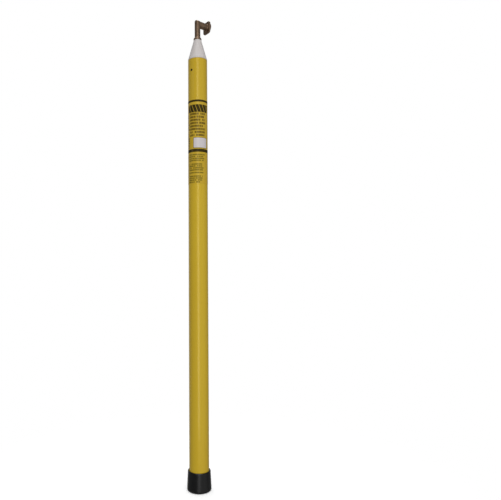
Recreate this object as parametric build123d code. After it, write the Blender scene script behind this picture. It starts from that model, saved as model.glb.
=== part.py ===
"""Telescoping lineman's hot stick, shown collapsed, in millimetres.

The stick is a nest of round fibreglass tubes. The widest one is the handle, with a rubber boot at its
foot. Each inner tube stands on a nylon butt plug that carries a sprung lock button, and slides up until
its button snaps into the hole near the top of the tube around it. The thinnest tube is the tip. It
carries a white nose cone, which closes the nest when the stick is collapsed, and a cast bronze head whose
ribbed face takes a tool.

Origin: centre of the boot's sole. +Z runs up the stick. +X is the way that the head's tool face points.
The line of lock holes faces roughly the other way, at lock_side_angle round from +X.
"""

from build123d import *
import math
import os

# Nest of tubes
section_count = 8
tip_outer_d = 31.5
tube_wall = 2.2
slide_gap = 0.45
base_tube_top_z = 1503.0
inner_tops_below_rim = 63.0
rim_round = 0.7
bond_gap = 0.05
land_gap = 0.3

# Boot, end disc and landing pad at the foot of the handle tube
boot_height = 66.8
boot_sole_thickness = 10.0
boot_top_wall = 5.0
boot_foot_wall = 7.7
boot_foot_round = 5.0
boot_lip_round = 3.0
boot_mouth_round = 1.2
boot_foot_land = 9.0
end_disc_thickness = 9.0
end_disc_chamfer = 1.0
landing_pad_thickness = 4.0
landing_pad_gap = 1.0

# Butt plug of each sliding tube
plug_flange_height = 6.0
plug_height = 50.0
plug_flange_gap = 0.25
plug_edge_chamfer = 0.8
air_groove_count = 3
air_groove_width = 5.0
air_groove_depth = 1.2

# Lock button, its leaf spring and the holes that it snaps into
button_d = 8.0
button_hole_gap = 0.15
button_tip_round = 1.2
button_tip_recess = 0.1
button_flange_d = 11.0
button_flange_thickness = 1.6
button_flange_gap = 0.2
button_above_butt = 32.0
lock_hole_below_top = 42.0
lock_side_angle = 194.0
leaf_thickness = 0.6
leaf_width = 7.0
leaf_length = 22.0
leaf_bow = 3.0
leaf_seat_gap = 0.05
pocket_side_gap = 0.5
pocket_end_gap = 1.5

# Nose cone
cone_seat_gap = 0.3
cone_edge_inset = 0.1
cone_land = 3.0
cone_height = 76.0
cone_top_d = 26.6
cone_wall = 4.0
skirt_length = 55.0
skirt_wall = 3.0
skirt_gap = 0.35
cone_boss_wall = 4.0
cone_boss_drop = 6.0
tip_tube_in_cone = 40.0
cone_cavity_height = 28.0

# Latch in the skirt of the cone
latch_strip_length = 38.0
latch_strip_drop = 6.0
latch_strip_lift = 3.0
latch_pad_length = 10.0
latch_rivet_d = 4.0
latch_rivet_head_d = 7.0
latch_rivet_head_height = 1.2

# Cast bronze head
collar_d = 28.7
collar_foot_d = 27.0
collar_height = 9.6
collar_belly_height = 4.2
post_d = 20.4
post_top_round = 3.6
barrel_width = 26.0
head_height = 72.6
arm_axis_below_top = 12.4
arm_root_height = 24.4
arm_root_width = 20.0
arm_end_height = 24.0
arm_end_width = 23.0
plate_back_x = 39.5
plate_thickness = 6.0
plate_width = 36.6
plate_height = 43.0
plate_drop = 2.0
plate_corner_round = 8.5
plate_back_round = 2.0
plate_front_round = 0.8
plate_root_round = 2.4
crotch_round = 1.8
touching = 0.001
rosette_d = 35.6
rosette_thickness = 4.0
rosette_hub_d = 13.0
tooth_count = 24
tooth_depth = 1.2
tooth_groove_share = 0.86
tool_thread_d = 8.0
tool_thread_depth = 20.0
neck_d = 17.0
shank_length = 48.0
pin_d = 5.0
pin_spacing = 16.0
pin_below_tube_top = 12.0

# Labels
upper_label_below_rim = 149.5
upper_label_height = 187.0
lower_label_height = 109.0
label_split = 1.5
label_thickness = 0.2
label_bond = 0.06
label_seam_angle = 24.0
label_seam_centre_angle = 53.0

# Places and sizes that follow from the values above
base_outer_r = tip_outer_d / 2 + (section_count - 1) * (tube_wall + slide_gap)
base_inner_r = base_outer_r - tube_wall
base_tube_foot_z = boot_sole_thickness
end_disc_top_z = base_tube_foot_z + end_disc_thickness
landing_z = end_disc_top_z + landing_pad_thickness
inner_tube_top_z = base_tube_top_z - inner_tops_below_rim
upper_label_top_z = base_tube_top_z - upper_label_below_rim
upper_label_foot_z = upper_label_top_z - upper_label_height
lower_label_top_z = upper_label_foot_z - label_split
lower_label_foot_z = lower_label_top_z - lower_label_height
cone_foot_z = base_tube_top_z + cone_seat_gap
cone_top_z = cone_foot_z + cone_height
skirt_outer_r = base_inner_r - skirt_gap
skirt_inner_r = skirt_outer_r - skirt_wall
latch_z = base_tube_top_z - lock_hole_below_top
button_hole_r = button_d / 2 + button_hole_gap
head_top_z = cone_top_z + head_height
arm_axis_z = head_top_z - arm_axis_below_top
plate_front_x = plate_back_x + plate_thickness
tool_face_x = plate_front_x + rosette_thickness
plate_centre_z = arm_axis_z - plate_drop

# Turns a piece built along +X so that it lies along the line of lock holes.
to_lock_side = Rot(0, 0, lock_side_angle)


def outer_r(section):
    """Outside radius of a tube. Section 1 is the handle, and the last one is the tip."""
    return base_outer_r - (section - 1) * (tube_wall + slide_gap)


def inner_r(section):
    return outer_r(section) - tube_wall


def butt_z(section):
    """Underside of a sliding section's butt plug, collapsed. Each stands on the plug before it."""
    return landing_z + land_gap + (section - 2) * (plug_height + land_gap)


def button_z(section):
    return butt_z(section) + button_above_butt


def tube_foot_z(section):
    return base_tube_foot_z if section == 1 else butt_z(section) + plug_flange_height


def tube_top_z(section):
    if section == 1:
        return base_tube_top_z
    if section == section_count:
        return cone_foot_z + tip_tube_in_cone
    return inner_tube_top_z


def lock_travel():
    """How far a lock button moves out, from flush with its own tube to just under flush outside."""
    return slide_gap + tube_wall - button_tip_recess


def section_name(section):
    return "tip" if section == section_count else f"section_{section}"


def cylinder_between(radius, low_z, high_z):
    """A round bar on the stick's axis."""
    bar = Cylinder(radius, high_z - low_z, align=(Align.CENTER, Align.CENTER, Align.MIN))
    return Pos(0, 0, low_z) * bar


def bar_along_x(radius, near_x, far_x, z):
    """A round bar that lies along X at a height z."""
    bar = Cylinder(radius, far_x - near_x, align=(Align.CENTER, Align.CENTER, Align.MIN))
    return Pos(near_x, 0, z) * Rot(0, 90, 0) * bar


def turned(points):
    """Revolves a closed outline of (radius, z) points about the stick's axis."""
    outline = Polyline(*[(r, 0, z) for r, z in points], close=True)
    return revolve(make_face(outline), Axis.Z)


def radial_hole(z, reach):
    """The cutter for one lock hole through one wall of a tube."""
    return to_lock_side * bar_along_x(button_hole_r, 0, reach, z)


def tube(section):
    """One fibreglass tube, with its rounded rims and its lock holes."""
    foot, top = tube_foot_z(section), tube_top_z(section)
    body = cylinder_between(outer_r(section), foot, top)
    body = fillet(body.edges().filter_by(GeomType.CIRCLE), rim_round)
    body -= cylinder_between(inner_r(section), foot - 1, top + 1)
    holes = []
    if section > 1:
        holes.append(button_z(section))
    if section < section_count:
        holes.append(button_z(section + 1))
        holes.append(top - lock_hole_below_top)
    for z in holes:
        body -= radial_hole(z, outer_r(section) + 1)
    return body


def leaf_profile_depth():
    """Radial room behind a button's flange: the bowed leaf and its seat."""
    return leaf_bow + leaf_thickness + leaf_seat_gap


def button(flange_face_x, tip_x, z):
    """A round button along +X with a flange at its inner end, built at its pressed-in place."""
    body = bar_along_x(button_d / 2, flange_face_x, tip_x, z)
    body = fillet(body.edges().sort_by(Axis.X)[-1], button_tip_round)
    flange = bar_along_x(button_flange_d / 2, flange_face_x - button_flange_thickness, flange_face_x, z)
    return body + flange


def leaf(crown_x, z):
    """A bowed strip of spring steel, its crown against the button and its ends on the pocket floor."""
    half = leaf_length / 2
    outer = ThreePointArc(
        (crown_x - leaf_bow, 0, z - half),
        (crown_x, 0, z),
        (crown_x - leaf_bow, 0, z + half),
    )
    inner = ThreePointArc(
        (crown_x - leaf_bow - leaf_thickness, 0, z + half),
        (crown_x - leaf_thickness, 0, z),
        (crown_x - leaf_bow - leaf_thickness, 0, z - half),
    )
    ends = [Line(outer @ 1, inner @ 0), Line(inner @ 1, outer @ 0)]
    face = make_face([outer, ends[0], inner, ends[1]])
    return extrude(face, leaf_width / 2, dir=(0, 1, 0), both=True)


def flat_inside(bore_r, width):
    """How far from the axis a flat face of some width lies when its edges touch a round bore."""
    return math.sqrt(bore_r**2 - (width / 2) ** 2)


def flange_face_x(section):
    """Outer face of a pressed-in button's flange, which stops just inside the bore when it is out."""
    return flat_inside(inner_r(section), button_flange_d) - lock_travel() - button_flange_gap


def section_button(section):
    return to_lock_side * button(flange_face_x(section), outer_r(section), button_z(section))


def section_leaf(section):
    crown = flange_face_x(section) - button_flange_thickness - leaf_seat_gap
    return to_lock_side * leaf(crown, button_z(section))


def butt_plug(section):
    """The nylon plug under a sliding tube: a guide flange, a bonded spigot and the button's pocket."""
    foot = butt_z(section)
    spigot_r = inner_r(section) - bond_gap
    flange_r = inner_r(section - 1) - plug_flange_gap
    plug = cylinder_between(flange_r, foot, foot + plug_flange_height)
    plug = chamfer(plug.edges().filter_by(GeomType.CIRCLE).sort_by(Axis.Z)[0], plug_edge_chamfer)
    plug += cylinder_between(spigot_r, foot, foot + plug_height)

    # Air slips past the flange through shallow grooves when the tube is pushed home.
    groove = Box(2 * air_groove_depth, air_groove_width, 3 * plug_flange_height)
    for index in range(air_groove_count):
        turn = Rot(0, 0, 60 + index * 360 / air_groove_count)
        plug -= turn * Pos(flange_r, 0, foot) * groove

    # The pocket opens outwards, and the tube's wall keeps the button's flange in it.
    floor_x = flange_face_x(section) - button_flange_thickness - leaf_seat_gap - leaf_profile_depth()
    pocket = Box(
        inner_r(section) - floor_x + 1,
        button_flange_d + 2 * pocket_side_gap,
        leaf_length + 2 * pocket_end_gap,
        align=(Align.MIN, Align.CENTER, Align.CENTER),
    )
    plug -= to_lock_side * Pos(floor_x, 0, button_z(section)) * pocket
    return plug


def butt_boot():
    """Black rubber boot, a little wider at the foot, with a rounded lip and a flat sole."""
    foot_r, top_r = base_outer_r + boot_foot_wall, base_outer_r + boot_top_wall
    body = turned([
        (0, 0),
        (foot_r, 0),
        (foot_r, boot_foot_land),
        (top_r, boot_height),
        (0, boot_height),
    ])
    rims = body.edges().filter_by(GeomType.CIRCLE).sort_by(Axis.Z)
    body = fillet(rims[0], boot_foot_round)
    body -= cylinder_between(base_outer_r + bond_gap, boot_sole_thickness, boot_height + 1)
    lip = body.edges().filter_by(GeomType.CIRCLE).group_by(Axis.Z)[-1].sort_by(SortBy.RADIUS)
    body = fillet(lip[-1], boot_lip_round)
    mouth = body.edges().filter_by(GeomType.CIRCLE).group_by(Axis.Z)[-1].sort_by(SortBy.RADIUS)[0]
    return fillet(mouth, boot_mouth_round)


def end_disc():
    disc = cylinder_between(base_inner_r - bond_gap, base_tube_foot_z, end_disc_top_z)
    return chamfer(disc.edges().filter_by(GeomType.CIRCLE), end_disc_chamfer)


def landing_pad():
    return cylinder_between(base_inner_r - landing_pad_gap, end_disc_top_z, landing_z)


def label(low_z, high_z):
    """Printed vinyl wrapped round the handle tube, with its open seam on the hidden side."""
    near_r = base_outer_r + label_bond
    far_r = near_r + label_thickness
    corners = [(near_r, low_z), (far_r, low_z), (far_r, high_z), (near_r, high_z)]
    outline = Polyline(*[(r, 0, z) for r, z in corners], close=True)
    wrap = revolve(make_face(outline), Axis.Z, 360 - label_seam_angle)
    return Rot(0, 0, label_seam_centre_angle + label_seam_angle / 2) * wrap


def nose_cone():
    """White cone over the nest: a hollow cone, a skirt inside the handle tube and a boss on the tip."""
    edge_r = base_outer_r - cone_edge_inset
    top_r = cone_top_d / 2
    boss_inner_r = outer_r(section_count) + bond_gap
    boss_outer_r = boss_inner_r + cone_boss_wall
    socket_top_z = tube_top_z(section_count)
    skirt_foot_z = cone_foot_z - skirt_length
    body = turned([
        (0, cone_foot_z),
        (edge_r, cone_foot_z),
        (edge_r, cone_foot_z + cone_land),
        (top_r, cone_top_z),
        (0, cone_top_z),
    ])
    body += cylinder_between(skirt_outer_r, skirt_foot_z, cone_foot_z)

    # Hollow between the boss and the outer wall.
    slope = (edge_r - top_r) / (cone_height - cone_land)
    cavity_top_r = edge_r - cone_wall - slope * (cone_cavity_height - cone_land)
    body -= turned([
        (0, skirt_foot_z - 1),
        (skirt_inner_r, skirt_foot_z - 1),
        (skirt_inner_r, cone_foot_z),
        (cavity_top_r, cone_foot_z + cone_cavity_height),
        (0, cone_foot_z + cone_cavity_height),
    ])
    body += cylinder_between(boss_outer_r, cone_foot_z - cone_boss_drop, cone_foot_z + cone_cavity_height)
    body -= cylinder_between(boss_inner_r, skirt_foot_z - 1, socket_top_z)
    body -= cylinder_between(neck_d / 2 + bond_gap, socket_top_z - 1, cone_top_z + 1)

    # Holes for the latch button and for the rivet of its spring.
    body -= radial_hole(latch_z, skirt_outer_r + 1)
    rivet_hole = bar_along_x(latch_rivet_d / 2, skirt_inner_r - 1, skirt_outer_r + 1, latch_rivet_z())
    return body - to_lock_side * rivet_hole


def latch_rivet_z():
    return latch_z + latch_strip_length - latch_strip_drop - latch_pad_length / 2


def latch_travel():
    """From flush with the skirt to just under flush with the handle tube."""
    return skirt_gap + tube_wall - button_tip_recess


def latch_flange_face_x():
    return flat_inside(skirt_inner_r, button_flange_d) - latch_travel() - button_flange_gap


def latch_button():
    return to_lock_side * button(latch_flange_face_x(), skirt_outer_r, latch_z)


def latch_spring():
    """A strip riveted inside the skirt, stepped inwards to lie behind the latch button."""
    low_x = latch_flange_face_x() - button_flange_thickness - leaf_seat_gap - leaf_thickness
    high_x = latch_seat_x() - leaf_thickness
    low_z = latch_z - latch_strip_drop
    bend_z = latch_z + button_flange_d / 2
    pad_z = latch_rivet_z() - latch_pad_length / 2
    top_z = latch_rivet_z() + latch_pad_length / 2
    side = [(low_x, low_z), (low_x, bend_z), (high_x, pad_z), (high_x, top_z)]
    back = [(x + leaf_thickness, z) for x, z in reversed(side)]
    outline = Polyline(*[(x, 0, z) for x, z in side + back], close=True)
    strip = extrude(make_face(outline), leaf_width / 2, dir=(0, 1, 0), both=True)
    strip -= bar_along_x(latch_rivet_d / 2 + bond_gap, low_x - 1, skirt_inner_r + 1, latch_rivet_z())
    return to_lock_side * strip


def latch_seat_x():
    """Outer face of the flat strip, whose edges touch the round skirt."""
    return flat_inside(skirt_inner_r, leaf_width) - bond_gap


def latch_rivet():
    """Rivet through the skirt and the strip, with a flat head inside and a flush end outside."""
    inner_x = latch_seat_x() - leaf_thickness - bond_gap
    shank = bar_along_x(latch_rivet_d / 2 - bond_gap, inner_x - latch_rivet_head_height,
                        skirt_outer_r - bond_gap, latch_rivet_z())
    head = bar_along_x(latch_rivet_head_d / 2, inner_x - latch_rivet_head_height, inner_x, latch_rivet_z())
    return to_lock_side * (shank + head)


def ellipse_face(x, z, width, height):
    """An elliptical section across the arm of the head."""
    return Plane(origin=(x, 0, z), x_dir=(0, 1, 0), z_dir=(1, 0, 0)) * Ellipse(width / 2, height / 2)


def tooth_groove(radius, depth):
    """A vee section across one groove of the rosette, at a radius from its centre."""
    half = math.pi * radius / tooth_count * tooth_groove_share
    return Plane(origin=(tool_face_x, 0, 0), x_dir=(0, 1, 0), z_dir=(0, 0, 1)).offset(radius) * make_face(
        Polyline((-half, -0.01), (half, -0.01), (0, depth), close=True)
    )


def rosette():
    """The ring of coarse radial teeth that stops a tool from turning on the head."""
    ring = bar_along_x(rosette_d / 2, plate_front_x, tool_face_x, 0)
    inner, outer = rosette_hub_d / 4, rosette_d / 2 + 1
    groove = loft([
        tooth_groove(inner, tooth_depth * inner / outer),
        tooth_groove(outer, tooth_depth),
    ])
    for index in range(tooth_count):
        ring -= Rot(index * 360 / tooth_count, 0, 0) * groove
    ring -= bar_along_x(rosette_hub_d / 2, plate_front_x, tool_face_x + 1, 0)
    return Pos(0, 0, arm_axis_z) * ring


def arm_and_plate():
    """The arm, which widens from the post to the plate that carries the rosette."""
    arm = loft([
        ellipse_face(0, arm_axis_z, arm_root_width, arm_root_height),
        ellipse_face(plate_back_x, arm_axis_z, arm_end_width, arm_end_height),
    ])
    plate_plane = Plane(origin=(plate_back_x, 0, plate_centre_z), x_dir=(0, 0, 1), z_dir=(1, 0, 0))
    outline = RectangleRounded(plate_height, plate_width, plate_corner_round)
    plate = extrude(plate_plane * outline, plate_thickness)
    plate = fillet(plate.edges().group_by(Axis.X)[0], plate_back_round)
    plate = fillet(plate.edges().group_by(Axis.X)[-1], plate_front_round)
    side = arm + plate
    root = side.edges().filter_by(GeomType.ELLIPSE).group_by(Axis.X)[-1]
    return fillet(root, plate_root_round)


def post():
    """The upright of the elbow. Its top is a barrel that runs the way of the arm, as if cast with it."""
    above_axis = head_top_z - arm_axis_z
    waste = Pos(0, 0, arm_axis_z + above_axis) * Box(2 * post_d, 2 * post_d, 2 * above_axis)
    half = ellipse_face(-post_d, arm_axis_z, barrel_width, 2 * above_axis)
    upright = cylinder_between(post_d / 2, cone_top_z, head_top_z) - (waste - extrude(half, 2 * post_d))
    rim = [e for e in upright.edges() if e.center().Z > arm_axis_z]
    return fillet(rim, post_top_round)


def shared_edges(joined, one, other):
    """The edges of a union that lie on the surfaces of both pieces it was made of."""
    found = []
    for edge in joined.edges():
        middle = Vertex(edge @ 0.5)
        if all(min(face.distance_to(middle) for face in piece.faces()) < touching for piece in (one, other)):
            found.append(edge)
    return found


def elbow():
    """The post and the arm, with the casting's rounded crotch all round the joint between them."""
    upright, side = post(), arm_and_plate()
    joined = upright + side
    return fillet(shared_edges(joined, upright, side), crotch_round)


def universal_head():
    """The bronze casting: shank, collar, post, elbow arm, and the plate with its toothed face."""
    shank_top_z = tube_top_z(section_count)
    casting = cylinder_between(inner_r(section_count) - bond_gap, shank_top_z - shank_length, shank_top_z)
    casting += cylinder_between(neck_d / 2, shank_top_z, cone_top_z)
    casting += collar()
    casting += elbow()
    casting += rosette()
    casting -= bar_along_x(tool_thread_d / 2, plate_front_x - tool_thread_depth, tool_face_x + 1, arm_axis_z)
    for z in pin_heights():
        casting -= pin_at(z, pin_d / 2 + bond_gap)
    return casting


def collar():
    """The rolled collar that covers the top of the nose cone."""
    foot_r, belly_r, top_r = collar_foot_d / 2, collar_d / 2, post_d / 2
    belly_z, top_z = cone_top_z + collar_belly_height, cone_top_z + collar_height
    side = Spline(
        (foot_r, 0, cone_top_z),
        (belly_r, 0, belly_z),
        (belly_r - 1.6, 0, belly_z + 3.4),
        (top_r, 0, top_z),
        tangents=[(1, 0, 1), (-1, 0, 0.6)],
    )
    rest = Polyline((top_r, 0, top_z), (0, 0, top_z), (0, 0, cone_top_z), (foot_r, 0, cone_top_z))
    return revolve(make_face([side, rest]), Axis.Z)


def pin_heights():
    first = tube_top_z(section_count) - pin_below_tube_top
    return [first, first - pin_spacing]


def pin_at(z, radius):
    """A cross pin or its hole. The upper one lies along Y, and the lower one along X."""
    reach = math.sqrt(outer_r(section_count) ** 2 - pin_d**2 / 4) - bond_gap
    bar = bar_along_x(radius, -reach, reach, 0)
    turn = 90 if z == pin_heights()[0] else 0
    return Pos(0, 0, z) * Rot(0, 0, turn) * bar


def head_pins():
    return [pin_at(z, pin_d / 2) for z in pin_heights()]


def foam_core():
    """Closed-cell foam that fills the tip tube from its butt plug to the head's shank."""
    low = butt_z(section_count) + plug_height
    high = tube_top_z(section_count) - shank_length
    return cylinder_between(inner_r(section_count) - bond_gap, low, high)


def tip_tube():
    """The tip tube is also drilled for the two pins that hold the head."""
    body = tube(section_count)
    for z in pin_heights():
        body -= pin_at(z, pin_d / 2 + bond_gap)
    return body


def pieces():
    """Every node of the stick and its solids."""
    made = {
        "base_tube": tube(1),
        "butt_boot": butt_boot(),
        "end_disc": end_disc(),
        "landing_pad": landing_pad(),
        "upper_label": label(upper_label_foot_z, upper_label_top_z),
        "lower_label": label(lower_label_foot_z, lower_label_top_z),
        "nose_cone": nose_cone(),
        "latch_button": latch_button(),
        "latch_spring": latch_spring(),
        "latch_rivet": latch_rivet(),
        "universal_head": universal_head(),
        "head_pins": Compound(children=head_pins()),
        "foam_core": foam_core(),
    }
    for section in range(2, section_count + 1):
        name = section_name(section)
        made[f"{name}_tube"] = tip_tube() if section == section_count else tube(section)
        made[f"{name}_plug"] = butt_plug(section)
        made[f"{name}_button"] = section_button(section)
        made[f"{name}_spring"] = section_leaf(section)
    return made


os.makedirs("parts", exist_ok=True)
for node, shape in pieces().items():
    export_step(shape, f"parts/{node}.step")
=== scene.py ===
# %% [markdown]
# # A telescoping hot stick, collapsed
#
# A hot stick is the long insulated pole that line crews use to work on live wires from a distance. This one
# is a nest of yellow fibreglass tubes. The widest is the handle and stands in a rubber boot. The thinnest
# carries a white nose cone, which closes the nest, and a bronze head that takes a tool.
#
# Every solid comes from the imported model, already at its real size. What is left for this script is the
# camera, the light and the finishes.

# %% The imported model
import math
import bpy
from mathutils import Matrix, Vector


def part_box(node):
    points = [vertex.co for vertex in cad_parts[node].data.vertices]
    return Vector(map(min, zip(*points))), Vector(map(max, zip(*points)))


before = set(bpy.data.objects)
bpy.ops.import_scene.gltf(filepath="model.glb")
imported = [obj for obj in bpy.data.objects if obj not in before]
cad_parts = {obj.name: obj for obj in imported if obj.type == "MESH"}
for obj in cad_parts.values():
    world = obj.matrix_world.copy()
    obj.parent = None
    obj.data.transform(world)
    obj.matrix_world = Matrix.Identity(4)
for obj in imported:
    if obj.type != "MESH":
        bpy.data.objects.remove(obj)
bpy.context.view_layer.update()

# %% [markdown]
# ## Heights that the finishes need
#
# The labels are printed by height and by angle round the tube, so both are read from the solids instead of
# being typed in again. If a tube grows longer, its print moves with it.

# %% Heights and radii, read from the solids
tube_low, tube_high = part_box("base_tube")
tube_radius = (tube_high.x - tube_low.x) / 2
rim_height = tube_high.z
upper_low, upper_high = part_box("upper_label")
lower_low, lower_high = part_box("lower_label")
boot_low, boot_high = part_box("butt_boot")
cone_low, cone_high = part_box("nose_cone")
head_low, head_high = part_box("universal_head")
print("tube radius:", round(tube_radius, 4), "rim height:", round(rim_height, 4))
print("labels from", round(lower_low.z, 4), "to", round(upper_high.z, 4))

# %% [markdown]
# ## The camera
#
# The photograph was taken by someone who stood about 1.7 m away and held the camera at waist height, so the
# boot is seen from above and the head from below. The rings on the tube give this away: the upper ones
# bend up and the boot's edge bends down. None of them slants, so the lens pointed straight at the stick, and
# the stick stands left of the middle only because the picture was cropped that way. A shifted lens does the
# same. The camera is built from plain directions, is tipped up a little, and is rolled a little too,
# because the stick in the picture leans.

# %% A camera at waist height
camera_distance = 1.708
camera_height = 0.7457
arm_turned_away = math.radians(36.9)
camera_tip = math.radians(2.67)
camera_roll = math.radians(-0.23)
sensor_width = 36
lens_length = 34.86
lens_shift = 0.1041

right = Vector((math.cos(arm_turned_away), -math.sin(arm_turned_away), 0))
away = Vector((math.sin(arm_turned_away), math.cos(arm_turned_away), 0))
forward = away * math.cos(camera_tip) + Vector((0, 0, math.sin(camera_tip)))
upward = right.cross(forward)

camera = bpy.data.objects.new("camera", bpy.data.cameras.new("camera"))
bpy.context.scene.collection.objects.link(camera)
bpy.context.scene.camera = camera
camera.data.sensor_width = sensor_width
camera.data.lens = lens_length
camera.data.shift_x = lens_shift
camera.data.clip_start, camera.data.clip_end = 0.05, 100
place = Vector((0, 0, camera_height)) - away * camera_distance
turn = Matrix((right, upward, -forward)).transposed().to_4x4()
camera.matrix_world = Matrix.Translation(place) @ turn @ Matrix.Rotation(camera_roll, 4, "Z")
print("camera at", [round(v, 3) for v in place])

# %% [markdown]
# ## Floor and sky
#
# A catalogue photograph has a white ground and even light. A wide pale disc makes the ground. The sky is
# white only where the camera looks straight at it. For everything else it is a dim grey, as in a studio with
# dark walls: it lights the stick a little, it is what the gloss on the tube mirrors, and that is what makes
# the tube's edges look round and deep. A Light Path node tells the two apart.

# %% A pale floor
def pale_floor(radius, sides):
    """A flat disc under the boot."""
    mesh = bpy.data.meshes.new("floor")
    ring = [(radius * math.cos(2 * math.pi * i / sides), radius * math.sin(2 * math.pi * i / sides), 0)
            for i in range(sides)]
    mesh.from_pydata(ring, [], [list(range(sides))])
    disc = bpy.data.objects.new("floor", mesh)
    bpy.context.scene.collection.objects.link(disc)
    return disc


floor_radius = 6.0
floor = pale_floor(floor_radius, 96)
print("floor radius, in metres:", floor_radius)

# %% A sky that is white to the camera and dim to all else
seen_strength = 1.0
lighting_strength = 0.2
lighting_color = (0.97, 0.98, 1, 1)

bpy.context.scene.view_settings.view_transform = "Standard"
sky = bpy.data.worlds.new("sky")
bpy.context.scene.world = sky
sky.use_nodes = True
seen_sky = sky.node_tree.nodes["Background"]
seen_sky.inputs["Color"].default_value = (1, 1, 1, 1)
seen_sky.inputs["Strength"].default_value = seen_strength
lighting_sky = sky.node_tree.nodes.new("ShaderNodeBackground")
lighting_sky.inputs["Color"].default_value = lighting_color
lighting_sky.inputs["Strength"].default_value = lighting_strength
ray = sky.node_tree.nodes.new("ShaderNodeLightPath")
either = sky.node_tree.nodes.new("ShaderNodeMixShader")
sky.node_tree.links.new(ray.outputs["Is Camera Ray"], either.inputs[0])
sky.node_tree.links.new(lighting_sky.outputs[0], either.inputs[1])
sky.node_tree.links.new(seen_sky.outputs[0], either.inputs[2])
sky.node_tree.links.new(either.outputs[0], sky.node_tree.nodes["World Output"].inputs["Surface"])
print("the sky lights the stick with strength", lighting_strength)

# %% [markdown]
# ## Lamps
#
# One soft lamp hangs near the camera and gives the tube the pale line down its front. Three more lights fill
# in from the right, from behind and from above. They could be area lamps too, but those weaken with distance,
# and this stick grows to ten metres. A lamp of the sun type is as strong everywhere, and a wide angle
# makes it soft. No lamp shows in the picture.

# %% Lamps that are placed by what the camera sees
def soft_lamp(name, to_right, nearer, height, width, tall, power, aim):
    """A rectangular soft lamp. Its place is counted from the stick, in the camera's own directions."""
    lamp = bpy.data.objects.new(name, bpy.data.lights.new(name, "AREA"))
    bpy.context.scene.collection.objects.link(lamp)
    lamp.data.shape = "RECTANGLE"
    lamp.data.size, lamp.data.size_y = width, tall
    lamp.data.energy = power
    lamp.location = right * to_right - away * nearer + Vector((0, 0, height))
    towards = Vector((0, 0, aim)) - lamp.location
    lamp.rotation_mode = "QUATERNION"
    lamp.rotation_quaternion = towards.to_track_quat("-Z", "Y")
    lamp.visible_camera = False
    print(name, "at", [round(v, 2) for v in lamp.location], "with", power, "W")
    return lamp


def far_light(name, to_right, nearer, up, strength, spread):
    """Soft light from one direction. It is as strong at the top of the stick when that is drawn out."""
    light = bpy.data.objects.new(name, bpy.data.lights.new(name, "SUN"))
    bpy.context.scene.collection.objects.link(light)
    light.data.energy = strength
    light.data.angle = math.radians(spread)
    source = right * to_right - away * nearer + Vector((0, 0, up))
    light.rotation_mode = "QUATERNION"
    light.rotation_quaternion = source.to_track_quat("Z", "Y")
    print(name, "with", strength, "W per square metre")
    return light


soft_lamp("key_lamp", to_right=-0.05, nearer=2.6, height=1.1, width=0.9, tall=3.6, power=30, aim=1.0)
far_light("right_light", to_right=1.7, nearer=1.9, up=0.1, strength=0.40, spread=78)
far_light("back_light", to_right=-0.5, nearer=-2.6, up=0.3, strength=0.6, spread=78)
far_light("top_light", to_right=0, nearer=0, up=1, strength=1.65, spread=31)

# %% [markdown]
# ## Writing finishes as sums
#
# A finish is a network of nodes. Drawn by hand it soon becomes a tangle, so here a socket is wrapped in a
# small class that knows how to add, multiply and compare. An expression such as `1 - scratches * 0.3` then
# adds the Math nodes by itself. Colours are only mixed with Mix nodes, because a Math node would turn them
# grey.

# %% One wrapped socket
class Wire:
    """A socket of a finish. Arithmetic on it adds Math nodes and gives a new Wire."""

    def __init__(self, finish, socket):
        self.finish = finish
        self.socket = socket

    def math(self, operation, *values):
        return self.finish.node("ShaderNodeMath", {"operation": operation}, *values)

    def sine(self):
        return self.math("SINE", self)

    def floor(self):
        return self.math("FLOOR", self)

    def root(self):
        return self.math("SQRT", self)

    def __add__(self, other):
        return self.math("ADD", self, other)

    def __sub__(self, other):
        return self.math("SUBTRACT", self, other)

    def __rsub__(self, other):
        return self.math("SUBTRACT", other, self)

    def __mul__(self, other):
        return self.math("MULTIPLY", self, other)

    def __truediv__(self, other):
        return self.math("DIVIDE", self, other)

    def __mod__(self, other):
        return self.math("FLOORED_MODULO", self, other)

    def __abs__(self):
        return self.math("ABSOLUTE", self)

    def __or__(self, other):
        return self.math("MAXIMUM", self, other)

    __radd__ = __add__
    __rmul__ = __mul__


print("a Wire can be added, subtracted, multiplied, divided, wrapped round and compared")


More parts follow.
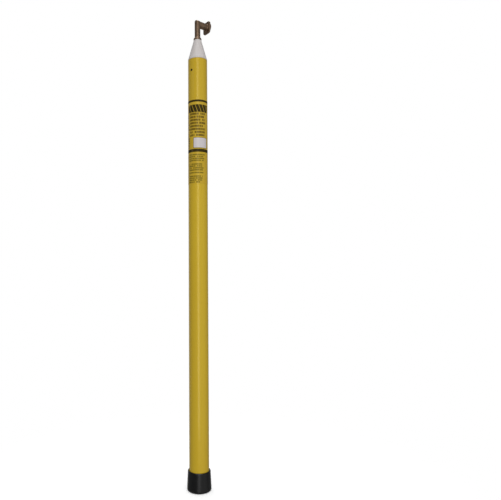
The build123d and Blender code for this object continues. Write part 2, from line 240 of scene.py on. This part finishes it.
# %% One finish
class Finish:
    """A material whose nodes are written as expressions."""

    def __init__(self, name, **fixed):
        self.material = bpy.data.materials.new(name)
        self.material.use_nodes = True
        self.tree = self.material.node_tree
        self.surface = self.tree.nodes["Principled BSDF"]
        for socket, value in fixed.items():
            self.surface.inputs[socket.replace("_", " ")].default_value = value

    def node(self, kind, settings, *values, out=0):
        """Adds a node: its settings first, then the values or links of its sockets in their order."""
        made = self.tree.nodes.new(kind)
        for key, value in settings.items():
            setattr(made, key, value)
        for socket, value in zip(made.inputs, values):
            self.feed(socket, value)
        return Wire(self, made.outputs[out])

    def feed(self, socket, value):
        if isinstance(value, Wire):
            self.tree.links.new(value.socket, socket)
        elif value is not None:
            socket.default_value = value

    def put(self, **inputs):
        """Feeds the surface's own sockets, which are named with _ for each space."""
        for name, value in inputs.items():
            if isinstance(value, tuple) and len(value) == 3:
                value = (*value, 1)
            self.feed(self.surface.inputs[name.replace("_", " ")], value)
        return self.material

    def mix(self, low, high, share):
        """Mixes two colours. Each is a triple or a Wire."""
        made = self.tree.nodes.new("ShaderNodeMix")
        made.data_type = "RGBA"
        for index, value in ((0, share), (6, low), (7, high)):
            if isinstance(value, tuple):
                value = (*value, 1)
            self.feed(made.inputs[index], value)
        return Wire(self, made.outputs[2])

    def place(self, stretch=(1, 1, 1)):
        """The spot on the stick, in metres, stretched along X, Y and Z."""
        here = self.node("ShaderNodeTexCoord", {}, out=3)
        return self.node("ShaderNodeVectorMath", {"operation": "MULTIPLY"}, here, stretch)

    def round_the_tube(self):
        """Height up the stick and angle round it, in metres and radians, with 0 along +X."""
        here = self.node("ShaderNodeTexCoord", {}, out=3)
        x, y, z = (self.node("ShaderNodeSeparateXYZ", {}, here, out=i) for i in range(3))
        return z, x.math("ARCTAN2", y, x)

    def noise(self, scale, detail=2, rough=0.5, stretch=(1, 1, 1)):
        return self.node("ShaderNodeTexNoise", {}, self.place(stretch), None, scale, detail, rough)

    def between(self, value, low, high):
        """0 below low, 1 above high, and a smooth slope between them."""
        return self.node("ShaderNodeMapRange", {"interpolation_type": "SMOOTHSTEP"}, value, low, high, 0, 1)

    def bump(self, height, depth, strength):
        """Turns a height from 0 to 1 into a surface that stands up by depth, in metres."""
        made = self.tree.nodes.new("ShaderNodeBump")
        self.feed(made.inputs["Strength"], strength)
        self.feed(made.inputs["Distance"], depth)
        self.feed(made.inputs["Height"], height)
        return Wire(self, made.outputs[0])


print("a Finish has noises, masks, mixes and a bump")


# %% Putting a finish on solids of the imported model
def dress(material, *names):
    """Gives solids a finish in their own slots, and leaves their meshes alone."""
    for name in names:
        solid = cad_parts[name]
        for slot in solid.material_slots:
            slot.link = "OBJECT"
            slot.material = material
    print(material.name, "is on", len(names), "solids")


print("solids that wait for a finish:", len(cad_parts))

# %% [markdown]
# ## Fibreglass tube
#
# The tube is glass cloth and roving wound on a mandrel and soaked in yellow resin. Up close, the roving
# crosses itself in slanted bands under the resin. From a step away only a faint, uneven tone is left, and
# long fine scuffs where the tubes slide. The bands are sine waves of the angle and the height. Their
# number round the tube is whole, so no seam shows. Near the top of the handle tube a last mask darkens the
# resin in a thin ring round the lock hole, by its distance from the middle of that hole.

# %% The middle of the lock hole
latch_low, latch_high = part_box("latch_button")
latch_middle = (latch_low + latch_high) / 2
latch_angle = math.atan2(latch_middle.y, latch_middle.x)
print("the lock hole is", round(rim_height - latch_middle.z, 4), "m under the rim, at",
      round(math.degrees(latch_angle) % 360, 1), "degrees")

# %% Distance round the tube
def arc_from(angle, middle):
    """Distance round the tube from the angle of some middle, in metres. It is negative on one side."""
    turned = (angle - middle + math.pi) % (2 * math.pi)
    return (turned - math.pi) * tube_radius


print("half way round the tube is", round(math.pi * tube_radius, 4), "m")

# %% Wound glass in yellow resin
resin_yellow = (0.80, 0.55, 0.034)
resin_deep = (0.70, 0.45, 0.026)
resin_scuffed = (0.74, 0.6, 0.26)
# A thin dark ring round the lock hole, and the distances from its middle where it starts and ends.
hole_ring_dark = (0.03, 0.018, 0.004)
hole_ring_from, hole_ring_to = 0.0042, 0.0052
yellow_gloss = (1, 0.86, 0.4, 1)
strands_round = 120
strand_pitch = 0.0018
weave_depth = 0.00003


def wound_glass(finish):
    """The skin of crossed strands, as a height from 0 to 1."""
    z, angle = finish.round_the_tube()
    turns = z * (2 * math.pi / strand_pitch)
    one = (angle * strands_round + turns).sine()
    other = (angle * strands_round - turns).sine()
    return (one | other) * 0.5 + 0.5


def dark_ring_round_hole(finish):
    """1 in a thin ring round the lock hole, where the resin is darkened."""
    z, angle = finish.round_the_tube()
    across = arc_from(angle, latch_angle)
    rise = z - latch_middle.z
    return 1 - finish.between((across * across + rise * rise).root(), hole_ring_from, hole_ring_to)


def fibreglass(name, scuffed, dark_ring=None):
    finish = Finish(name, Coat_Roughness=0.1, Coat_IOR=1.5, IOR=1.5, Specular_Tint=yellow_gloss)
    weave = wound_glass(finish)
    cloud = finish.noise(9, 3, 0.55, stretch=(1, 1, 0.16))
    flecks = finish.between(finish.noise(420, 2, 0.6, stretch=(1, 1, 0.4)), 0.45, 0.75)
    tone = finish.between(cloud, 0.3, 0.7) * 0.3 + weave * 0.3 + flecks * 0.3 - 0.1
    color = finish.mix(resin_yellow, resin_deep, tone)
    scuffs = finish.between(finish.noise(160, 4, 0.6, stretch=(1, 1, 0.02)), 0.56, 0.74) * scuffed
    color = finish.mix(color, resin_scuffed, scuffs * 0.35)
    # Darkens the resin in a thin ring round the lock hole.
    if dark_ring:
        color = finish.mix(color, hole_ring_dark, dark_ring(finish) * 0.6)
    return finish.put(
        Base_Color=color,
        Roughness=0.28 + scuffs * 0.25,
        Coat_Weight=0.16 - scuffs * 0.14,
        Normal=finish.bump(weave * 0.7 + cloud * 0.3, weave_depth, 0.7),
    )


dress(fibreglass("handle_fibreglass", 0.35, dark_ring_round_hole), "base_tube")
inner_tubes = [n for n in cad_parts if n.endswith("_tube") and n != "base_tube"]
dress(fibreglass("inner_fibreglass", 0.8), *inner_tubes)

# %% [markdown]
# ## Printed labels
#
# The labels are yellow vinyl, wrapped round the tube under a clear film. Black bands close the upper label
# at both ends. Between them are a row of slanted bars, a block of ruled lines and a white panel to write
# on. All of it is generic: there is nothing to read. Each print is a mask, made from the height and the
# angle, so its edges stay sharp however close the camera comes.

# %% The angle of the label's middle
facing_camera = math.atan2(place.y, place.x)
print("the label's middle is at", round(math.degrees(facing_camera) % 360, 1), "degrees")


# %% Masks of the prints
word_length = 0.0165
word_gap = 0.13
print("a word is", word_length, "m long and its gap is", word_gap, "of that")


def inside(finish, value, low, high, soft=0.0003):
    """1 between low and high, with an edge as soft as a print's."""
    return finish.between(value, low - soft, low + soft) - finish.between(value, high - soft, high + soft)


def lines_of_words(finish, z, across, top, rows, pitch, thickness, left, right):
    """Rows of plain bars, broken where a line of print would have a gap."""
    run = (top - z) / pitch
    row = run.floor()
    chance = finish.node("ShaderNodeTexWhiteNoise", {"noise_dimensions": "1D"}, None, row + top * 1000)
    line = inside(finish, run - row, 0.03, thickness / pitch, 0.03)
    stretch = across / word_length + (across * 310 + chance * 19).sine() * 0.3
    word = (stretch + chance * 7) % 1
    line = line * finish.between(word, word_gap - 0.04, word_gap)
    ragged = 1 - finish.between(across + chance * 0.007, right - 0.0003, right)
    start = finish.between(across, left, left + 0.0003)
    return line * ragged * start * inside(finish, z, top - rows * pitch, top)


def slanted_bars(finish, z, across, low, high, pitch, lean, half_width):
    """A row of leaning bars across the front of the tube."""
    run = (across + (z - low) * lean) % pitch
    bars = inside(finish, run, pitch * 0.06, pitch * 0.94)
    return bars * inside(finish, z, low, high) * inside(finish, across, -half_width, half_width)


def round_panel(finish, z, across, low, high, middle, half_width, corner):
    """A rectangle with round corners."""
    side = (abs(across - middle) - (half_width - corner)) | 0
    rise = (abs(z - (low + high) / 2) - ((high - low) / 2 - corner)) | 0
    reach = (side * side + rise * rise).root()
    return 1 - finish.between(reach, corner - 0.0004, corner)


# %% Vinyl with its print
vinyl_yellow = (0.76, 0.51, 0.04)
vinyl_shade = (0.68, 0.44, 0.032)
print_black = (0.012, 0.008, 0.001)
print_brown = (0.055, 0.028, 0.001)
print_olive = (0.13, 0.105, 0.004)
panel_white = (0.82, 0.77, 0.80)
vinyl_rubbed = (0.7, 0.56, 0.3)


def vinyl(name, paint):
    """Yellow vinyl under a clear film. paint adds the print, and says where its ink lies thick and dull."""
    finish = Finish(name, Coat_Roughness=0.14, Coat_IOR=1.45, IOR=1.46, Specular_Tint=yellow_gloss)
    z, angle = finish.round_the_tube()
    cloud = finish.noise(14, 3, 0.6)
    color = finish.mix(vinyl_yellow, vinyl_shade, finish.between(cloud, 0.3, 0.75) * 0.6)
    color, ink = paint(finish, z, arc_from(angle, facing_camera), color)
    rub = finish.between(finish.noise(90, 4, 0.6, stretch=(1, 1, 0.12)), 0.55, 0.75)
    ripple = finish.noise(60, 2, 0.5, stretch=(1, 1, 0.5))
    return finish.put(
        Base_Color=finish.mix(color, vinyl_rubbed, rub * 0.12),
        Roughness=0.36 + rub * 0.18 + ink * 0.3,
        Coat_Weight=(0.08 - rub * 0.05) * (1 - ink),
        Normal=finish.bump(ripple, 0.00006, 0.5),
    )


def upper_print(finish, z, across, color):
    """Bands at both ends, slanted bars, lines, a thin column at their left, and a white panel."""
    top, foot = upper_high.z, upper_low.z
    bands = inside(finish, z, top - 0.0088, top - 0.0014) | inside(finish, z, foot + 0.0004, foot + 0.0112)
    bars = slanted_bars(finish, z, across, low=top - 0.0455, high=top - 0.0185, pitch=0.0125, lean=0.35,
                        half_width=0.039)
    lines = lines_of_words(finish, z, across, top - 0.0475, rows=8, pitch=0.0108, thickness=0.0080,
                           left=-0.031, right=0.030)
    column = lines_of_words(finish, z, across, top - 0.051, rows=15, pitch=0.0082, thickness=0.0070,
                            left=-0.043, right=-0.0335)
    low, high, middle = foot + 0.0155, foot + 0.0505, 0.0095
    rim = round_panel(finish, z, across, low - 0.0022, high + 0.0018, middle, half_width=0.0272, corner=0.004)
    panel = round_panel(finish, z, across, low, high, middle, half_width=0.025, corner=0.003)
    color = finish.mix(color, print_brown, lines * 0.74 | column * 0.9)
    color = finish.mix(color, print_olive, rim * 0.7)
    color = finish.mix(color, panel_white, panel)
    ink = (bands | bars) * 0.97
    return finish.mix(color, print_black, ink), ink


def lower_print(finish, z, across, color):
    """Small lines in blocks, each given by its drop below the top, its rows, its left and its right."""
    top, pitch = lower_high.z, 0.0068
    blocks = ((0.005, 4, -0.036, 0.026), (0.0385, 4, -0.036, 0.022), (0.0685, 1, -0.036, 0.022),
              (0.081, 3, -0.036, 0.021), (0.1015, 1, -0.036, 0.012))
    made = lines_of_words(finish, z, across, top - 0.004, rows=15, pitch=pitch, thickness=0.0056,
                          left=-0.043, right=-0.038)
    for drop, rows, left, right in blocks:
        made = made | lines_of_words(finish, z, across, top - drop, rows, pitch, 0.0050, left, right)
    return finish.mix(color, print_olive, made * 0.72), made * 0.3


dress(vinyl("upper_vinyl", upper_print), "upper_label")
dress(vinyl("lower_vinyl", lower_print), "lower_label")

# %% [markdown]
# ## Nose cone
#
# The cone is moulded in a white plastic that lets a little light in, so its shadows stay soft and slightly
# warm. A warm grey colour under a soft gloss does that here. Handling leaves faint grey smears, which are
# long and run down the slope. Round the latch button the plastic is painted near black, by its distance
# from the middle of that button: this is painted shade, for the dark inside the lock hole.

# %% Milky moulded plastic
cone_white = (0.77, 0.72, 0.70)
cone_smear = (0.67, 0.60, 0.56)
# Painted shade for the plastic that shows in the dark lock hole, and how far round the latch it reaches.
latch_hole_painted_shade = (0.016, 0.011, 0.005)
hole_shade_from, hole_shade_to = 0.0062, 0.0085


def milky_plastic(name, color, smear, smear_share):
    """White plastic with long smears, and with painted shade by its distance from the latch."""
    finish = Finish(name, IOR=1.5)
    smears = finish.between(finish.noise(34, 4, 0.6, stretch=(1, 1, 0.35)), 0.5, 0.78)
    grain = finish.noise(420, 2, 0.5)
    middle = tuple(latch_middle)
    to_latch = finish.node("ShaderNodeVectorMath", {"operation": "DISTANCE"}, finish.place(), middle, out=1)
    # Painted shade: near black close to the latch, where the plastic sits in the lock hole.
    painted_hole_shade = 1 - finish.between(to_latch, hole_shade_from, hole_shade_to)
    color = finish.mix(color, smear, smears * smear_share)
    return finish.put(
        Base_Color=finish.mix(color, latch_hole_painted_shade, painted_hole_shade),
        Roughness=0.36 + smears * 0.16 + grain * 0.05 + painted_hole_shade * 0.4,
        Normal=finish.bump(grain, 0.00003, 0.4),
    )


dress(milky_plastic("cone_plastic", cone_white, cone_smear, 0.6), "nose_cone")

# %% [markdown]
# ## Bronze head
#
# Sand-cast bronze keeps a fine grain from the mould. It goes brown where nobody touches it, and lighter where
# hands and tools rub it. Three noises do this: a slow one for the two browns, a quick one for the grain, and
# one for the rubbed spots, which are also smoother. Small pits join the grain in the bump. A bump is enough
# here, because the grains are far smaller than anything that shows in the outline.

# %% Cast bronze, brown with handling
bronze_brown, bronze_dark = (0.27, 0.175, 0.112), (0.18, 0.12, 0.08)
bronze_sandy, bronze_rubbed = (0.42, 0.28, 0.18), (0.5, 0.34, 0.22)
sand_depth = 0.00016


def cast_bronze():
    finish = Finish("cast_bronze", IOR=1.5)
    slow = finish.noise(38, 3, 0.6)
    grain = finish.noise(720, 3, 0.65)
    pits = finish.node("ShaderNodeTexVoronoi", {"feature": "F1"}, finish.place(), None, 480)
    rubbed = finish.between(finish.noise(75, 5, 0.7), 0.5, 0.72)
    brown = finish.mix(bronze_brown, bronze_dark, finish.between(slow, 0.35, 0.7))
    sandy = finish.mix(brown, bronze_sandy, finish.between(grain, 0.45, 0.68) * 0.5)
    rough_skin = grain * 0.7 + finish.between(pits, 0.0, 0.5) * 0.3
    return finish.put(
        Base_Color=finish.mix(sandy, bronze_rubbed, rubbed * 0.35),
        Metallic=0.86 + rubbed * 0.1,
        Roughness=0.38 - rubbed * 0.05 + grain * 0.06,
        Normal=finish.bump(rough_skin, sand_depth, 0.45),
    )


dress(cast_bronze(), "universal_head")

# %% [markdown]
# ## Rubber boot and pads
#
# Moulded rubber is black, never quite even, and dusty where it meets the ground. The dust is a mask by
# height that a noise breaks up, and it also makes the rubber rougher.

# %% Black rubber with dust at the foot
rubber_black, rubber_worn = (0.003, 0.0029, 0.003), (0.006, 0.0058, 0.006)
grey_dust = (0.13, 0.12, 0.105)
dust_from, dust_to = 0.006, 0.024


def black_rubber(name, dusty):
    finish = Finish(name, IOR=1.52, Specular_IOR_Level=0.4)
    z, _ = finish.round_the_tube()
    speckle = finish.noise(700, 3, 0.6)
    marks = finish.between(finish.noise(55, 5, 0.65), 0.5, 0.75)
    low = 1 - finish.between(z + finish.noise(120, 3, 0.6) * 0.012, dust_from, dust_to)
    dust = low * marks * dusty
    color = finish.mix(rubber_black, rubber_worn, marks)
    return finish.put(
        Base_Color=finish.mix(color, grey_dust, dust * 0.5),
        Roughness=0.3 + marks * 0.08 + dust * 0.3,
        Normal=finish.bump(speckle, 0.00006, 0.5),
    )


dress(black_rubber("boot_rubber", 1.0), "butt_boot")
dress(black_rubber("pad_rubber", 0.0), "landing_pad")


# %% [markdown]
# ## Small parts inside
#
# These show when the tubes are drawn out. Nylon plugs keep the rings of the lathe, the buttons are black
# acetal, the springs are rolled strip, and the tip tube is filled with foam.

# %% Turned nylon
nylon_white, nylon_soiled = (0.6, 0.57, 0.49), (0.4, 0.35, 0.27)
lathe_pitch = 0.0007


def turned_nylon():
    finish = Finish("turned_nylon", Subsurface_Weight=0.2, Subsurface_Scale=0.004)
    z, _ = finish.round_the_tube()
    rings = (z * (2 * math.pi / lathe_pitch)).sine()
    soil = finish.between(finish.noise(48, 4, 0.6), 0.5, 0.75)
    return finish.put(
        Base_Color=finish.mix(nylon_white, nylon_soiled, soil * 0.6),
        Roughness=0.42 + soil * 0.15,
        Normal=finish.bump(rings, 0.00003, 0.6),
    )


plugs = [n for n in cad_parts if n.endswith("_plug")]
dress(turned_nylon(), "end_disc", *plugs)


# %% Black acetal, strip steel, ground pins and the rivet
def black_acetal():
    finish = Finish("black_acetal", IOR=1.48)
    wear = finish.between(finish.noise(300, 4, 0.6), 0.5, 0.7)
    return finish.put(
        Base_Color=finish.mix((0.016, 0.015, 0.014), (0.06, 0.056, 0.05), wear * 0.6),
        Roughness=0.3 + wear * 0.25,
        Normal=finish.bump(finish.noise(900, 2), 0.00003, 0.4),
    )


def strip_metal(name, color, rough, stretch):
    finish = Finish(name, Metallic=1.0)
    lines = finish.noise(600, 3, 0.6, stretch)
    stain = finish.between(finish.noise(90, 3, 0.6), 0.5, 0.8)
    dull = tuple(c * 0.55 for c in color)
    return finish.put(
        Base_Color=finish.mix(color, dull, stain * 0.6),
        Roughness=rough + lines * 0.15,
        Normal=finish.bump(lines, 0.00002, 0.5),
    )


buttons = [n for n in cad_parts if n.endswith("_button")]
springs = [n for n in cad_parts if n.endswith("_spring")]
dress(black_acetal(), *buttons)
dress(strip_metal("spring_strip", (0.56, 0.56, 0.55), 0.28, (1, 1, 0.05)), *springs)
dress(strip_metal("ground_pins", (0.6, 0.6, 0.61), 0.2, (1, 1, 1)), "head_pins")
dress(strip_metal("rivet_aluminium", (0.72, 0.72, 0.73), 0.32, (1, 1, 1)), "latch_rivet")


# %% Foam
def rigid_foam():
    finish = Finish("rigid_foam")
    cells = finish.node("ShaderNodeTexVoronoi", {"feature": "F1"}, finish.place(), None, 900)
    return finish.put(
        Base_Color=finish.mix((0.66, 0.56, 0.32), (0.48, 0.38, 0.2), cells),
        Roughness=0.85,
        Normal=finish.bump(cells, 0.0004, 0.8),
    )


dress(rigid_foam(), "foam_core")

# %% [markdown]
# ## The floor's finish
#
# White paper has hardly any gloss. It shines a little by itself here, which brings it up to the white of the
# background, and from a hand's width round the boot it fades, so the disc has no edge to see. Only
# the camera sees it at all: a white floor would throw its light up on to the boot and the foot of the tube,
# and in the photograph both are dark there. A Light Path node picks the paper for the camera's own rays and a
# clear shader for all others.

# %% Pale paper that only the camera sees
fade_from, fade_to = 0.12, 1.0


def floor_paper():
    finish = Finish("floor_paper", Specular_IOR_Level=0.1, Emission_Color=(1, 1, 1, 1), Emission_Strength=0.3)
    cloud = finish.noise(1.3, 3, 0.5)
    x, y = (finish.node("ShaderNodeSeparateXYZ", {}, finish.place(), out=i) for i in range(2))
    finish.put(
        Base_Color=finish.mix((0.97, 0.97, 0.97), (0.95, 0.95, 0.95), cloud),
        Roughness=0.9,
        Alpha=1 - finish.between((x * x + y * y).root(), fade_from, fade_to),
    )
    seen = finish.node("ShaderNodeLightPath", {})
    clear = finish.node("ShaderNodeBsdfTransparent", {})
    paper = Wire(finish, finish.surface.outputs[0])
    either = finish.node("ShaderNodeMixShader", {}, seen, clear, paper)
    finish.feed(finish.tree.nodes["Material Output"].inputs["Surface"], either)
    return finish.material


floor.data.materials.append(floor_paper())
print("the floor has faded away", fade_to, "m from the stick")
